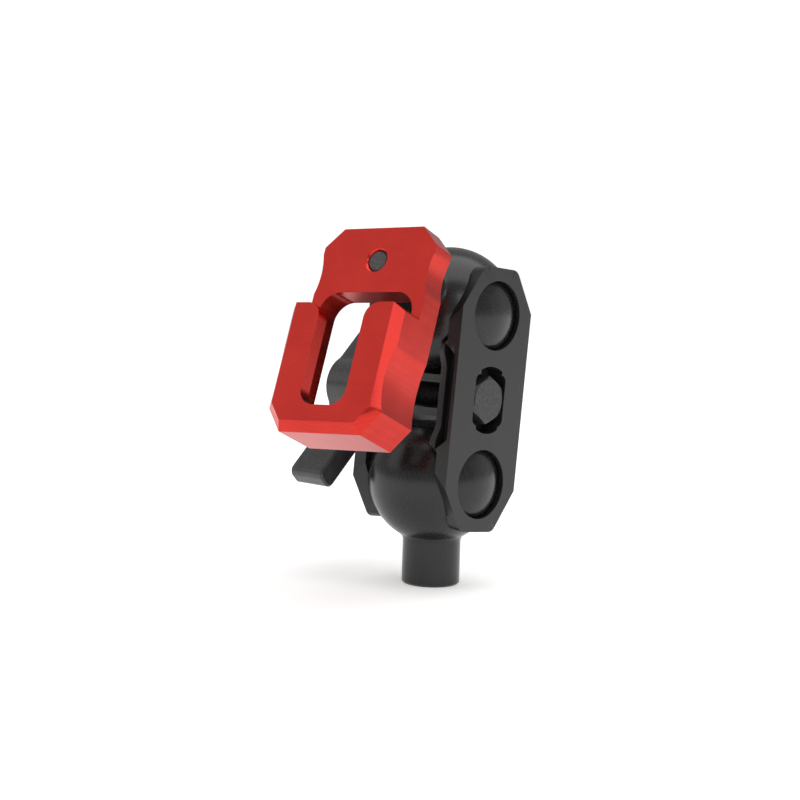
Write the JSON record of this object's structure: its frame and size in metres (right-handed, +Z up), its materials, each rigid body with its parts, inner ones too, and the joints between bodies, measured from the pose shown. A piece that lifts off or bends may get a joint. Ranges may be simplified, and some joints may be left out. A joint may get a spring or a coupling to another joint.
{
  "type": "ball-jointed cradle mount",
  "caption": "Double-ball clamp arm with a lever-tightened bolt that holds an open-topped slotted cradle at any angle above a tapped post.",
  "frame": {"origin": "centre of the lower post's end face, on the axis of its tapped hole", "axes": "+Z up the lower post, +X along the clamp bolt towards its head, -Y towards the front of the cradle"},
  "size_m": [0.0451, 0.0565, 0.0691],
  "materials": {
    "black_ball": "turned and black anodised, satin",
    "black_plate": "milled and black anodised, satin",
    "black_lever": "milled and black anodised, satin",
    "red_cradle": "milled and red anodised, satin",
    "bolt_steel": "black oxide",
    "stud_steel": "plain steel, dull",
    "key_steel": "plain steel, dull",
    "bush_steel": "plain steel, dull"
  },
  "bodies": {
    "post": {"lower_ball_post": "black_ball"},
    "arm": {"near_plate": "black_plate", "clamp_bolt": "bolt_steel", "guide_keys": "key_steel"},
    "far_jaw": {"far_plate": "black_plate", "thrust_washer": "bush_steel"},
    "lever": {"lever": "black_lever", "lever_bush": "bush_steel"},
    "upper_ball": {"upper_ball_post": "black_ball", "cradle_stud": "stud_steel"},
    "cradle": {"cradle": "red_cradle"}
  },
  "joints": [
    {"name": "arm_tilt", "type": "hinge", "parent": "post", "child": "arm", "pos_m": [0, 0, 0.0207], "axis": [1, 0, 0], "range_deg": [-80, 90]},
    {"name": "jaw_open", "type": "slide", "parent": "arm", "child": "far_jaw", "axis": [-1, 0, 0], "range_m": [0, 0.0008]},
    {"name": "lever_turn", "type": "hinge", "parent": "far_jaw", "child": "lever", "pos_m": [0, 0.0016, 0.0367], "axis": [-1, 0, 0], "range_deg": [0, 360]},
    {"name": "cradle_tilt", "type": "hinge", "parent": "arm", "child": "upper_ball", "pos_m": [0, 0.00319, 0.05269], "axis": [1, 0, 0], "range_deg": [-150, 22]},
    {"name": "cradle_roll", "type": "hinge", "parent": "upper_ball", "child": "cradle", "pos_m": [0, 0.00319, 0.05269], "axis": [0.0976, -0.9154, 0.3905], "range_deg": [-90, 90]}
  ],
  "couplings": [
    {"joint": "lever_turn", "follows": "jaw_open", "rad_per_m": 7850}
  ]
}
